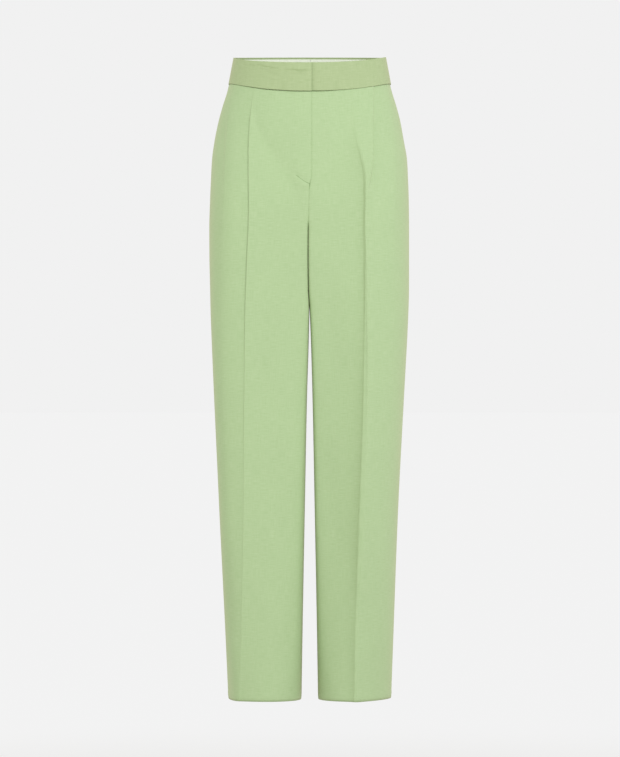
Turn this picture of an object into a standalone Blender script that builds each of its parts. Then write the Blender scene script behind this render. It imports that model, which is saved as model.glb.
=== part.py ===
"""High-waisted wide-leg wool trousers with pressed creases, filled out as they are when worn.

Metres, +Z up. The front faces -Y and the wearer's right side is at -X. The origin is the centre
of the waistband, at half its height at the sides.
"""

import bmesh
import bpy
import numpy as np
from mathutils import Vector

MM = 0.001

# Cloth, in millimetres
CLOTH = 1.3  # wall of one layer of wool
HEM_WALL = 2.6  # two layers where the hem is turned up
HEM_TURN = 38.0  # depth of the turn-up
SEAM_GAP = 0.3  # between pieces that are sewn together
WAIST_GAP = 1.1  # the same at the outer side of the slanting waist seam

# Waistband, in millimetres; a drop is measured down from the origin
BAND_TOP = -23.5
BAND_BOTTOM = 22.2
BAND_WALL = 2.0
BAND_PROUD = 0.9  # the band stands out over the seam below it
BAND_HALF_WIDTH = (129.6, 137.2)  # top and bottom
BAND_HALF_DEPTH = (93.0, 96.0)
BAND_LAP = 3.0  # how far the right end laps past the centre front
BAND_UNDERLAP = 28.0  # how far the left end runs on under it
LAP_STEP = 1.25  # one end moves out and the other in by this much
FACING_WALL = 0.9
FACING_EDGE = 3.2  # the facing's upper edge lies this far below the band's
FACING_GAP = 0.4

# Waist line: the front dips and the back rises, in millimetres at this depth from the middle
WAIST_DIP = 20.5
WAIST_RISE = 12.8
WAIST_DEPTH = 94.0
TILT_END = 200.0  # drop at which the sections are level again
TILT_POWER = 2.0  # how the waist seam falls and rises with the depth, and the band's top edge below
TOP_POWER = {"right": 1.15, "left": 1.55, "back": 1.05}

# Seat and crotch, in millimetres
CROTCH = 300.0  # drop of the crotch point
CROTCH_DEPTH = 8.0  # the crotch point is this far behind the middle
RISE_START = {"front": 250.0, "back": 190.0}  # where the centre seam starts to curve under
RISE_POWER = 2.6
RISE_END = 0.995  # the seam's depth, as a share of the flat's, from which it is on the flat
BACK_ROUND = 5.0  # roundness of the seat and of the backs at the inner leg
TORSO_ROUND = 2.35  # roundness of the section at the waist, where 2 is an ellipse
BLEND = (30.0, 275.0)  # drops between which one torso becomes two legs
HEM = 1064.0
HEM_SLANT = 0.06  # the hem rises this much for each millimetre towards the front

# Fly, in millimetres; an inset is measured inwards from the fronts' plain form
FLY_END = 202.0
FLY_LAP = 2.8
FLY_UNDERLAP = 4.2  # how far the left front's edge runs on under the right's
FLY_STEP = 0.95  # the right edge moves out and the left one in by this much
SHIELD_LEFT = 9.0
SHIELD_RIGHT = 29.0
SHIELD_CURVE = 160.0  # drop where the shield's edge starts to curve towards its end
SHIELD_END = 197.0
SHIELD_INSET = 2.85
SHIELD_WALL = 1.2
ZIP_FROM = 15.0
ZIP_TO = 5.2
ZIP_INSET = 0.95
ZIP_WALL = 1.2
ZIP_END = 188.0

# Sections of each leg from the waist seam to the hem, in millimetres. side: half width at the side seam;
# crease, seat: where the front and the back crease lie; inner: the inner leg, from the middle; seam: how
# far back the side seam lies; front, back: depths of the flats; outer_round, inner_round: roundness of
# the outer and the inner quarter; tilt_outer, tilt_inner, tilt_back: how far the front and the back
# crease stand out from the flats beside them; bulge: how far the inner flat of the front swells.
SECTION_COLUMNS = (
    "drop side crease seat inner seam front back outer_round inner_round "
    "tilt_outer tilt_inner bulge tilt_back"
).split()
SECTIONS = {
    "right": [
        (22.2, 137.0, 93.5, 80, 0.0, 0, 95.5, 96.5, 2.4, 40, 0, 0, 0, 0),
        (36, 140.3, 94.5, 80, 0.0, 1, 99, 101, 2.4, 40, 0, 0, 0, 0),
        (58, 147.3, 97.0, 81, 0.0, 2, 104, 108, 2.4, 40, 0, 0, 0, 0),
        (83, 154.3, 99.4, 82, 0.0, 3, 109, 115, 2.4, 40, 0, 0, 0, 0),
        (117, 161.4, 100.4, 83, 0.0, 4, 114, 124, 2.4, 40, 0, 0, 0, 0),
        (151, 166.0, 100.6, 84, 0.0, 4, 117, 131, 2.5, 40, 0, 0, 0, 0),
        (190, 167.9, 100.2, 84, 0.3, 5, 119.5, 136, 2.6, 40, 0, 0, 0, 0),
        (219, 169.0, 99.9, 84, 1.4, 6, 120, 137, 2.8, 40, 3, 0, 0, 0),
        (268, 170.1, 100.6, 83, 2.6, 6, 118, 134, 3.0, 40, 4, 1, 0, 0),
        (321, 169.7, 102.8, 81, 2.8, 6, 115, 128, 3.2, 36, 5, 3, 0, 3),
        (372, 168.4, 105.0, 78, 2.4, 5, 112, 122, 3.5, 30, 6, 4, 0, 6),
        (406, 167.6, 106.2, 76, 0.8, 5, 109, 119, 3.7, 24, 7, 5, 1, 8),
        (440, 166.3, 107.2, 73, 1.3, 4, 106, 116, 3.9, 18, 8, 6, 1, 9),
        (560, 161.2, 108.7, 64, 4.8, 3, 99, 108, 4.2, 14, 12, 8, 2, 12),
        (746, 152.6, 110.0, 50, 8.4, 2, 93, 101, 4.2, 10, 14, 8, 3, 14),
        (950, 143.0, 114.2, 38, 12.2, 1, 89, 96, 3.0, 7, 14, 4, 8, 14),
        (1064, 138.3, 118.0, 33, 14.0, 0, 88, 94, 2.0, 4.5, 14, 0, 14, 12),
    ],
    "left": [
        (22.2, 136.0, 68.0, 80, 0.0, 0, 95.5, 96.5, 2.4, 40, 0, 0, 0, 0),
        (36, 139.7, 70.0, 80, 0.0, 1, 99, 101, 2.4, 40, 0, 0, 0, 0),
        (58, 146.5, 72.5, 81, 0.0, 2, 104, 108, 2.4, 40, 0, 0, 0, 0),
        (83, 153.3, 74.8, 82, 0.0, 3, 109, 115, 2.4, 40, 0, 0, 0, 0),
        (117, 159.5, 78.2, 83, 0.0, 4, 114, 124, 2.4, 40, 0, 0, 0, 0),
        (151, 165.2, 84.2, 84, 0.0, 4, 117, 131, 2.4, 40, 0, 0, 0, 0),
        (190, 167.2, 89.8, 84, -0.3, 5, 119.5, 136, 2.4, 40, 0, 0, 0, 0),
        (219, 168.2, 90.2, 84, -1.4, 6, 120, 137, 2.4, 40, 2, 1, 0, 0),
        (268, 168.7, 89.4, 83, -2.6, 6, 118, 134, 2.4, 40, 4, 3, 0, 0),
        (321, 168.7, 90.8, 82, -2.8, 6, 115, 128, 2.4, 40, 6, 5, 0, 3),
        (372, 168.6, 92.1, 81, -2.4, 5, 109, 122, 2.4, 36, 10, 11, 0, 6),
        (406, 167.7, 91.9, 80, -0.4, 5, 104, 119, 2.4, 32, 12, 14, 0, 8),
        (440, 166.2, 91.7, 80, 1.3, 4, 100, 116, 2.4, 28, 14, 17, 0, 9),
        (560, 159.7, 90.5, 79, 4.8, 3, 90, 108, 2.4, 24, 20, 24, 0, 12),
        (746, 150.0, 84.7, 77, 8.4, 2, 80, 101, 2.4, 18, 25, 29, 0, 14),
        (950, 142.4, 76.6, 76, 12.2, 1, 73, 96, 2.4, 10, 30, 32, 2, 14),
        (1064, 138.4, 74.4, 76, 14.0, 0, 68, 94, 2.1, 5, 36, 32, 7, 12),
    ],
}

# Pleats on the fronts, in millimetres: the cloth on the inner side of the line stands higher by the
# step, or the cloth on the outer side if it is negative, and the step is spread over the width.
PLEAT_COLUMNS = "drop across step width".split()
PLEATS = {
    ("right", "main"): [
        (22, 93.5, 1.4, 1.2),
        (84, 99.4, 1.7, 1.2),
        (144, 100.6, 2, 1.2),
        (240, 99.8, 2, 1.2),
        (330, 103.4, 1.9, 1.2),
        (430, 107, 1.5, 1.2),
        (560, 108.7, 1.1, 1.2),
        (746, 110, 0.9, 1.2),
        (950, 114.2, 0.7, 1.2),
        (1064, 118, 0.3, 1.5),
    ],
    ("left", "main"): [
        (22, 106.5, 2.4, 1.2),
        (110, 103.2, 2.2, 1.4),
        (165, 102.4, 1.8, 2),
        (210, 96.4, 1, 2.2),
        (250, 94, 0, 2.4),
    ],
    ("right", "second"): [
        (22, 128, 0.9, 2),
        (53, 135.5, 1.6, 2.2),
        (110, 139.6, 1.8, 2.6),
        (164, 142.2, 1.5, 3),
        (257, 145.5, 0.6, 4),
        (320, 147, 0, 5),
    ],
    ("left", "second"): [
        (22, 131, 0.5, 3),
        (70, 140, 1.1, 3),
        (164, 144.5, 1.3, 3.5),
        (257, 143, 0.8, 4),
        (380, 139, 0, 5),
    ],
    ("left", "open"): [
        (90, 74.8, 0, 6),
        (117, 78.2, -0.6, 4),
        (151, 84.2, -1.4, 4),
        (190, 89.8, -2.6, 3),
        (219, 90.2, -3, 1.9),
        (268, 89.4, -2.8, 1.6),
        (321, 90.8, -2.7, 1.6),
        (440, 91.7, -2.4, 1.6),
        (560, 90.5, -2.3, 1.6),
        (746, 84.7, -2, 1.6),
        (870, 79.5, -1.5, 1.5),
        (920, 77.5, -0.3, 1.5),
        (980, 75.9, -0.6, 1.4),
        (1064, 74.4, -1.1, 1.3),
    ],
}
PLEAT_REACH = {"main": 62.0, "second": 30.0, "open": 24.0}  # the raised cloth sinks back over this

# Pressed creases, in millimetres: the ridge's height, and how far it spreads outwards and inwards
CREASE_COLUMNS = "drop ridge outer_spread inner_spread".split()
CREASES = {
    ("right", "front"): [
        (150, 0, 12, 30),
        (240, 1, 12, 30),
        (400, 1.5, 10, 30),
        (760, 1.5, 10, 30),
        (1064, 0.6, 10, 30),
    ],
    ("left", "front"): [
        (88, 0, 60, 10),
        (117, 2.4, 60, 10),
        (151, 4.6, 60, 12),
        (190, 5.2, 60, 13),
        (235, 4.4, 60, 10),
        (320, 5, 60, 9),
        (370, 5, 60, 12),
        (430, 7.5, 60, 15),
        (560, 9.5, 60, 17),
        (740, 9.5, 60, 15),
        (840, 7, 60, 12),
        (900, 4.5, 60, 12),
        (1064, 5.5, 60, 10),
    ],
    ("right", "back"): [
        (150, 0, 20, 20),
        (300, 1, 20, 20),
        (420, 2.5, 16, 16),
        (760, 3, 14, 14),
        (1064, 3, 14, 14),
    ],
    ("left", "back"): [
        (150, 0, 20, 20),
        (300, 1, 20, 20),
        (420, 2.5, 16, 16),
        (760, 3, 14, 14),
        (1064, 3, 14, 14),
    ],
}

# Darts in the backs, above the back creases, in millimetres
DART_END = (95.0, 135.0)  # drops between which a dart fades out
DART_DEPTH = 1.1
DART_WIDTH = 1.7

# Soft folds, in millimetres: a trough (negative) or ridge along a line on one panel
EDGE_MARGIN = 4.0  # folds die out over this width beside the seams
FOLD_COLUMNS = "panel drop_0 across_0 drop_1 across_1 width height".split()
FOLDS = [
    ("front_left", 360, 30, 500, 34, 16, -1.2),
    ("front_right", 330, 44, 440, 30, 16, -1.2),
    ("front_right", 700, 22, 800, 30, 14, -1.8),
    ("front_right", 860, 24, 1000, 34, 15, -1.6),
    ("front_right", 800, 142, 950, 126, 10, -1.2),
    ("front_left", 640, 26, 800, 42, 16, -1.2),
    ("back_left", 300, 60, 380, 130, 16, -3),
    ("back_right", 292, 52, 370, 128, 16, -3.4),
    ("back_left", 350, 40, 440, 100, 14, -2.2),
    ("back_right", 356, 36, 430, 92, 14, -2),
    ("back_left", 640, 40, 820, 60, 16, -2),
    ("back_right", 700, 34, 860, 40, 16, -2.2),
]

SIGN = {"right": -1.0, "left": 1.0, "front": -1.0, "back": 1.0}
QUARTER = np.linspace(0.0, np.pi / 2, 61)
COLUMNS = {"front": (4, 5, 7, 6), "back": (6, 7, 6)}  # between the guide lines of a panel
BESIDE = 1.6  # distance of the columns beside a seam or a guide line
CORNER_ROOM = 8.0  # least length of cloth past the corner of the inner leg
BAND_COLUMNS = 30
LAP_FADE = {"right": (BAND_UNDERLAP + 2, BAND_UNDERLAP + 24), "left": (BAND_LAP + 1, BAND_LAP + 11)}
LAP_MARKS = {"right": (54.0, 30.0), "left": (14.0, 4.0)}  # columns beside the lap's slopes
BAND_ROWS = 3


def through(xs, ys, x):
    """Smooth curve through the points (xs, ys), which never overshoots them."""
    xs, ys = np.asarray(xs, float), np.asarray(ys, float)
    steps = np.diff(xs)
    rates = np.diff(ys) / steps
    slopes = np.empty_like(ys)
    slopes[0], slopes[-1] = rates[0], rates[-1]
    before, after = rates[:-1], rates[1:]
    total = np.where(before + after == 0, 1.0, before + after)
    slopes[1:-1] = np.where(before * after > 0, 2 * before * after / total, 0.0)
    x = np.clip(x, xs[0], xs[-1])
    i = np.clip(np.searchsorted(xs, x) - 1, 0, len(xs) - 2)
    t = (x - xs[i]) / steps[i]
    from_start = (1 + 2 * t) * (1 - t) ** 2 * ys[i] + t * (1 - t) ** 2 * steps[i] * slopes[i]
    from_end = t**2 * (3 - 2 * t) * ys[i + 1] + t**2 * (t - 1) * steps[i] * slopes[i + 1]
    return from_start + from_end


def fade(x, start, end):
    """0 up to start, 1 from end on, and a smooth step between."""
    t = np.clip((x - start) / (end - start), 0.0, 1.0)
    return t * t * (3 - 2 * t)


def named(rows, columns, drop):
    """A table's named values at a drop, which is its first column."""
    rows = np.array(rows, float)
    return {name: through(rows[:, 0], rows[:, k], drop) for k, name in enumerate(columns)}


def level(leg, drop):
    return named(SECTIONS[leg], SECTION_COLUMNS, drop)


def pleat_at(leg, line, drop):
    """Where a pleat line lies across the panel, and its step and width, at a drop."""
    if (leg, line) not in PLEATS:
        return {"across": 0.0, "step": 0.0, "width": 1.0}
    return named(PLEATS[leg, line], PLEAT_COLUMNS, drop)


def bow(angle, power):
    """One coordinate of a superellipse quarter: 1 at 0 and 0 at a right angle."""
    return np.cos(angle) ** (2 / power)


def crease_of(v, face):
    return v["crease" if face == "front" else "seat"]


def rise(face, drop):
    """The centre seam's depth as a share of the flat's: the seam curves under between the legs."""
    start = RISE_START[face]
    reach = np.clip((drop - start) / (CROTCH - start), 0.0, 1.0)
    return min((1 - reach**RISE_POWER) ** (1 / RISE_POWER), RISE_END)


def torso_section(v, face):
    """The quarter of the torso's ring, from the side seam to the centre."""
    side = v["side"]
    turn = np.arccos((crease_of(v, face) / side) ** (TORSO_ROUND / 2))
    share = QUARTER / QUARTER[-1]
    angles = np.concatenate([share * turn, (turn + share * (QUARTER[-1] - turn))[1:]])
    sign = SIGN[face]
    depth = v[face] - sign * v["seam"]
    across = side * bow(angles, TORSO_ROUND)
    along = v["seam"] + sign * depth * bow(QUARTER[-1] - angles, TORSO_ROUND)
    return np.column_stack([across, along])


def leg_section(v, face, drop):
    """Half of a leg's ring: side seam, crease, then round to the inner seam or the centre seam."""
    sign, crease = SIGN[face], crease_of(v, face)
    outer_tilt, inner_tilt = v["tilt_back"], v["tilt_back"]
    if face == "front":
        outer_tilt, inner_tilt = v["tilt_outer"], v["tilt_inner"]
    reach = v["side"] - crease
    across = crease + reach * bow(QUARTER, v["outer_round"])
    flat = v[face] + inner_tilt - outer_tilt - sign * v["seam"]
    depth = flat * bow(QUARTER[-1] - QUARTER, v["outer_round"]) + outer_tilt * (v["side"] - across) / reach
    outer = np.column_stack([across, v["seam"] + sign * depth])

    power = v["inner_round"] if face == "front" else BACK_ROUND
    back_of = CROTCH_DEPTH * (1 - fade(drop, CROTCH, HEM))
    share = rise(face, drop) if drop < CROTCH else 0.0
    last = np.arccos(share ** (power / 2))
    span = crease - v["inner"] - SEAM_GAP / 2
    reach = span / np.sin(last) ** (2 / power)
    angles = QUARTER * last / QUARTER[-1]
    across = crease - reach * bow(QUARTER[-1] - angles, power)
    inwards = (crease - across) / span
    bulge = v["bulge"] * np.sin(np.pi * inwards) if face == "front" else 0.0
    depth = (v[face] - sign * back_of) * bow(angles, power) + inner_tilt * (1 - inwards) + bulge
    return np.vstack([outer, np.column_stack([across, back_of + sign * depth])[1:]])


def section(leg, face, drop):
    """A panel's section at a drop, as points (across, along) from the side seam inwards."""
    v = level(leg, drop)
    share = fade(drop, *BLEND)
    return (1 - share) * torso_section(v, face) + share * leg_section(v, face, drop)


def lap(leg, drop):
    """How far a front's edge passes the centre in the fly: the right laps over the left."""
    length = FLY_LAP if leg == "right" else FLY_UNDERLAP
    return length * (1 - fade(drop, FLY_END - 12, FLY_END - 2))


def panel_drops():
    """Drops of the rows of a panel; they crowd together where the crotch curves under."""
    waist = BAND_BOTTOM + WAIST_GAP
    hips = [waist, 36, 54, 76, 100, 124, 147, 169, FLY_END - 12, FLY_END - 2]
    start = RISE_START["front"]
    seat = [FLY_END + 14, 234]
    turns = np.sin(np.radians([10, 20, 34, 48, 62, 75, 84, 90])) ** (2 / RISE_POWER)
    thighs = np.linspace(CROTCH, 450, 7)[1:]
    shins = np.linspace(450, HEM - HEM_TURN, 10)[1:]
    return np.concatenate([hips, seat, start + (CROTCH - start) * turns, thighs, shins, [HEM]])


def guides(leg, face, drop):
    """Lines across a panel, from the side inwards, that its columns follow."""
    v = level(leg, drop)
    crease = crease_of(v, face)
    if face == "back":
        return [crease]
    second = pleat_at(leg, "second", drop)["across"]
    return [min(second, crease + 0.62 * (v["side"] - crease)), crease]


def corner(curve, length, crease):
    """How far along a section its inner corner lies, where the cloth turns in between the legs."""
    inside = curve[:, 0] <= crease
    across, depth = curve[inside, 0], np.abs(curve[inside, 1])
    turn = np.argmax(depth / depth.max() - across / crease)
    return min(length[inside][turn], length[-1] - CORNER_ROOM)


def panel_points(leg, face):
    """Rows of points over a panel's outer side, before its pleats and folds are raised."""
    drops = panel_drops()
    rows = []
    for drop in drops:
        curve = section(leg, face, drop)
        if face == "front" and lap(leg, drop) > 0.01:
            curve = np.vstack([curve, curve[-1] - np.array([lap(leg, drop), 0.0])])
        length = np.concatenate([[0.0], np.cumsum(np.linalg.norm(np.diff(curve, axis=0), axis=1))])
        marks = [0.0]
        for line in guides(leg, face, drop):
            marks.append(float(np.interp(-line, -curve[:, 0], length)))
        marks.append(corner(curve, length, crease_of(level(leg, drop), face)))
        marks.append(length[-1])
        stops = []
        for k, count in enumerate(COLUMNS[face]):
            beside = min(BESIDE, 0.2 * (marks[k + 1] - marks[k]))
            stops.extend([marks[k], *np.linspace(marks[k] + beside, marks[k + 1] - beside, count)])
        stops.append(marks[-1])
        across = np.interp(stops, length, curve[:, 0])
        along = np.interp(stops, length, curve[:, 1])
        rows.append(np.column_stack([across, along, np.full(len(stops), -drop)]))
    return np.array(rows), drops


def step(distance, width):
    """A smooth step from 0 to 1 over about the width."""
    return 0.5 * (1 + np.tanh(distance / (0.5 * width)))


def relief(leg, face, across, drop):
    """How far the cloth stands out of the plain form: pleats, pressed crease, dart, folds and fly lap."""
    v = level(leg, drop)
    crease = crease_of(v, face)
    height = np.zeros_like(across)
    if face == "front":
        for line, reach in PLEAT_REACH.items():
            pleat = pleat_at(leg, line, drop)
            raised = (pleat["across"] - across) * np.where(pleat["step"] < 0, -1.0, 1.0)
            flat = 1 - fade(raised, 0.1 * reach, reach)
            height += abs(pleat["step"]) * step(raised, pleat["width"]) * flat
        fly = (1 - fade(drop, FLY_END - 2, FLY_END + 10)) * (1 - fade(across, 16, 34))
        height += (FLY_STEP if leg == "right" else -FLY_STEP) * fly
    else:
        dart = np.exp(-(((across - crease) / DART_WIDTH) ** 2))
        height -= DART_DEPTH * dart * (1 - fade(drop, *DART_END))
    pressed = named(CREASES[leg, face], CREASE_COLUMNS, drop)
    span = np.where(across > crease, v["side"] - crease, crease - v["inner"])
    spread = np.where(across > crease, pressed["outer_spread"], pressed["inner_spread"])
    lowest = np.exp(-span / spread)
    ridge = np.maximum(np.exp(-np.abs(across - crease) / spread) - lowest, 0.0) / (1 - lowest)
    height += pressed["ridge"] * ridge
    inside = fade(v["side"] - across, 0, EDGE_MARGIN) * fade(across - v["inner"], 0, EDGE_MARGIN)
    for row in FOLDS:
        fold = dict(zip(FOLD_COLUMNS, row))
        if fold["panel"] == face + "_" + leg:
            start = np.array([fold["across_0"], fold["drop_0"]], float)
            line = np.array([fold["across_1"], fold["drop_1"]], float) - start
            spot = np.column_stack([across, np.full_like(across, drop)]) - start
            t = np.clip(spot @ line / (line @ line), 0.0, 1.0)
            away = np.linalg.norm(spot - t[:, None] * line, axis=1)
            swell = np.exp(-((away / fold["width"]) ** 2)) * np.sin(np.pi * (0.15 + 0.7 * t))
            height += fold["height"] * swell * inside
    return height


def normals(points):
    """Unit normals of rows of points, facing away from the middle of the leg."""
    down = np.gradient(points, axis=0)
    over = np.gradient(points, axis=1)
    normal = np.cross(over, down)
    normal /= np.linalg.norm(normal, axis=2)[:, :, None]
    return normal


def waist_tilt(along, drop):
    """The waist line's dip at the front and rise at the back, fading out down the hips."""
    lift = np.where(along < 0, -WAIST_DIP, WAIST_RISE) * np.abs(along / WAIST_DEPTH) ** TILT_POWER
    return lift * (1 - fade(drop, BAND_BOTTOM, TILT_END))


def panel_surface(leg, face):
    """Rows of finished points on a panel's outer side, in world millimetres."""
    points, drops = panel_points(leg, face)
    outward = normals(points)
    if face == "back":
        outward = -outward
    for i, drop in enumerate(drops):
        height = relief(leg, face, points[i, :, 0], drop)
        points[i] += outward[i] * height[:, None]
        free = lap(leg, drop) if face == "front" else 0.0
        points[i, :, 0] = np.maximum(points[i, :, 0], level(leg, drop)["inner"] + SEAM_GAP / 2 - free)
        points[i, 0, 1] += SIGN[face] * SEAM_GAP / 2
        if drop >= CROTCH:
            points[i, -1, 1] += SIGN[face] * SEAM_GAP / 2
        points[i, :, 2] += waist_tilt(points[i, :, 1], drop)
        points[i, :, 2] -= HEM_SLANT * points[i, :, 1] * fade(drop, HEM - 3 * HEM_TURN, HEM)
    points[:, :, 0] *= SIGN[leg]
    return points, drops


def material(name, red, green, blue, roughness):
    made = bpy.data.materials.new(name)
    made.use_nodes = True
    shader = made.node_tree.nodes["Principled BSDF"]
    shader.inputs["Base Color"].default_value = (red, green, blue, 1.0)
    shader.inputs["Roughness"].default_value = roughness
    made.diffuse_color = (red, green, blue, 1.0)
    return made


def sheet(name, points, finish, collection):
    """An open surface through rows of points in millimetres, its faces pointing away from the body."""
    rows, columns = points.shape[:2]
    mesh = bmesh.new()
    vertices = [mesh.verts.new(Vector(p) * MM) for p in points.reshape(-1, 3)]
    for i in range(rows - 1):
        for j in range(columns - 1):
            a = i * columns + j
            mesh.faces.new([vertices[k] for k in (a, a + 1, a + columns + 1, a + columns)])
    mesh.normal_update()
    outward = 0.0
    for face in mesh.faces:
        centre = face.calc_center_median()
        outward += face.normal.dot(Vector((centre.x, centre.y, 0))) * face.calc_area()
    if outward < 0:
        bmesh.ops.reverse_faces(mesh, faces=mesh.faces)
    data = bpy.data.meshes.new(name)
    mesh.to_mesh(data)
    mesh.free()
    data.materials.append(finish)
    data.shade_smooth()
    made = bpy.data.objects.new(name, data)
    collection.objects.link(made)
    return made


def wall(made, thickness):
    """Gives a sheet its thickness, inwards from its outer side."""
    modifier = made.modifiers.new("wall", "SOLIDIFY")
    modifier.thickness = thickness * MM
    modifier.offset = -1.0
    modifier.use_even_offset = True
    modifier.use_quality_normals = True
    return modifier


def panel(leg, face, finish, collection):
    """A front or a back, with its hem turned up."""
    points, drops = panel_surface(leg, face)
    made = sheet(face + "_" + leg, points, finish, collection)
    modifier = wall(made, HEM_WALL)
    turned = made.vertex_groups.new(name="hem turn-up")
    columns = points.shape[1]
    for i, drop in enumerate(drops):
        if drop > HEM - HEM_TURN + 1:
            turned.add(list(range(i * columns, (i + 1) * columns)), 1.0, "REPLACE")
    modifier.vertex_group = turned.name
    modifier.thickness_vertex_group = CLOTH / HEM_WALL
    return made


def band_curve(drop, inset):
    """Half of the waistband's ring, from the centre back past the centre front."""
    share = (drop - BAND_TOP) / (BAND_BOTTOM - BAND_TOP)
    half_width = np.interp(share, (0, 1), BAND_HALF_WIDTH) + BAND_PROUD * share - inset
    half_depth = np.interp(share, (0, 1), BAND_HALF_DEPTH) + BAND_PROUD * share - inset
    angles = np.linspace(0.0, np.pi * 1.16, 400)
    across = half_width * np.sign(np.sin(angles)) * np.abs(np.sin(angles)) ** (2 / TORSO_ROUND)
    along = half_depth * np.sign(np.cos(angles)) * np.abs(np.cos(angles)) ** (2 / TORSO_ROUND)
    return np.column_stack([across, along])


def band_surface(leg, end, inset=0.0, top=BAND_TOP):
    """Rows of points on half of the waistband, or of its facing, as far as the end past the centre."""
    rows = []
    for drop in np.linspace(top, BAND_BOTTOM, BAND_ROWS):
        curve = band_curve(drop, inset)
        front = curve[:, 1] < 0
        length = np.concatenate([[0.0], np.cumsum(np.linalg.norm(np.diff(curve, axis=0), axis=1))])
        start = np.interp(SEAM_GAP / 2, curve[~front][:, 0], length[~front])
        places = LAP_MARKS[leg] + (-end,)
        marks = [np.interp(-place, -curve[front][:, 0], length[front]) for place in places]
        stops = np.linspace(start, marks[0], BAND_COLUMNS + 1)
        for near, far in zip(marks, marks[1:]):
            if far > near:
                stops = np.append(stops, np.linspace(near, far, 4)[1:])
        across = np.interp(stops, length, curve[:, 0])
        along = np.interp(stops, length, curve[:, 1])
        rows.append(np.column_stack([across, along, np.full(len(stops), -drop)]))
    points = np.array(rows)
    outward = normals(points)
    near, far = LAP_FADE[leg]
    share = (1 - fade(points[:, :, 0], near, far)) * (points[:, :, 1] < 0)
    points -= outward * SIGN[leg] * LAP_STEP * share[:, :, None]
    front = points[:, :, 1] < 0
    top_power = np.where(front, TOP_POWER[leg], TOP_POWER["back"])
    drops = np.linspace(top, BAND_BOTTOM, BAND_ROWS)[:, None]
    power = top_power + (TILT_POWER - top_power) * (drops - BAND_TOP) / (BAND_BOTTOM - BAND_TOP)
    lift = np.where(front, -WAIST_DIP, WAIST_RISE)
    points[:, :, 2] += lift * np.abs(points[:, :, 1] / WAIST_DEPTH) ** power
    points[:, :, 0] *= SIGN[leg]
    return points


def front_points(across, drop):
    """Points on the fronts' plain form near the centre, at distances to the wearer's left of it."""
    along = np.empty_like(across)
    for leg in ("right", "left"):
        curve = section(leg, "front", drop)
        own = across * SIGN[leg] >= 0
        along[own] = np.interp(-np.abs(across[own]), -curve[:, 0], curve[:, 1])
    height = -drop + waist_tilt(along, drop)
    return np.column_stack([across, along, height])


def fly_strip(name, edges, drops, inset, thickness, finish, collection):
    """A strip behind the fly; edges gives its right and left edge at each drop."""
    rows = []
    for drop in drops:
        right, left = edges(drop)
        row = front_points(np.linspace(right, left, 6), drop)
        row[:, 1] += inset
        rows.append(row)
    wall(sheet(name, np.array(rows), finish, collection), thickness)


def shield_edges(drop):
    """The shield narrows in a quarter round to the fly's end."""
    turn = np.clip((drop - SHIELD_CURVE) / (SHIELD_END + 2 - SHIELD_CURVE), 0.0, 0.98)
    return -SHIELD_RIGHT * np.sqrt(1 - turn**2), SHIELD_LEFT


def fly_pieces(collection):
    """What closes the fly behind the lapped fronts: a shield, and a zip between it and the right front."""
    top = BAND_BOTTOM + WAIST_GAP
    cloth = material("Wool, fly shield", 0.36, 0.54, 0.26, 0.85)
    drops = np.append(np.linspace(top, SHIELD_CURVE, 7), np.linspace(SHIELD_CURVE, SHIELD_END, 6)[1:])
    fly_strip("fly_shield", shield_edges, drops, SHIELD_INSET, SHIELD_WALL, cloth, collection)
    tape = material("Woven zip tape", 0.40, 0.56, 0.30, 0.7)
    drops = np.linspace(top, ZIP_END, 8)
    fly_strip("fly_zip", lambda drop: (-ZIP_FROM, -ZIP_TO), drops, ZIP_INSET, ZIP_WALL, tape, collection)


def waistband(leg, collection):
    """Half of the waistband, with its facing inside it a little below its upper edge."""
    cloth = material("Wool, waistband " + leg, 0.38, 0.56, 0.27, 0.85)
    end = BAND_LAP if leg == "right" else BAND_UNDERLAP
    wall(sheet("waistband_" + leg, band_surface(leg, end), cloth, collection), BAND_WALL)
    lining = material("Pale facing, " + leg, 0.86, 0.87, 0.80, 0.6)
    end = -LAP_MARKS["right"][0] if leg == "right" else BAND_UNDERLAP - 2
    points = band_surface(leg, end, BAND_WALL + FACING_GAP, BAND_TOP + FACING_EDGE)
    wall(sheet("waistband_facing_" + leg, points, lining, collection), FACING_WALL)


def main():
    for old in list(bpy.data.objects):
        bpy.data.objects.remove(old, do_unlink=True)
    garment = bpy.data.collections.new("Pleated trousers")
    bpy.context.scene.collection.children.link(garment)

    wool = {
        "front_right": material("Wool, right front", 0.40, 0.58, 0.29, 0.85),
        "front_left": material("Wool, left front", 0.42, 0.60, 0.30, 0.85),
        "back_right": material("Wool, right back", 0.38, 0.55, 0.27, 0.85),
        "back_left": material("Wool, left back", 0.40, 0.57, 0.28, 0.85),
    }
    for leg in ("right", "left"):
        for face in ("front", "back"):
            panel(leg, face, wool[face + "_" + leg], garment)
        waistband(leg, garment)
    fly_pieces(garment)


main()
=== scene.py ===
import math

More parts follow.
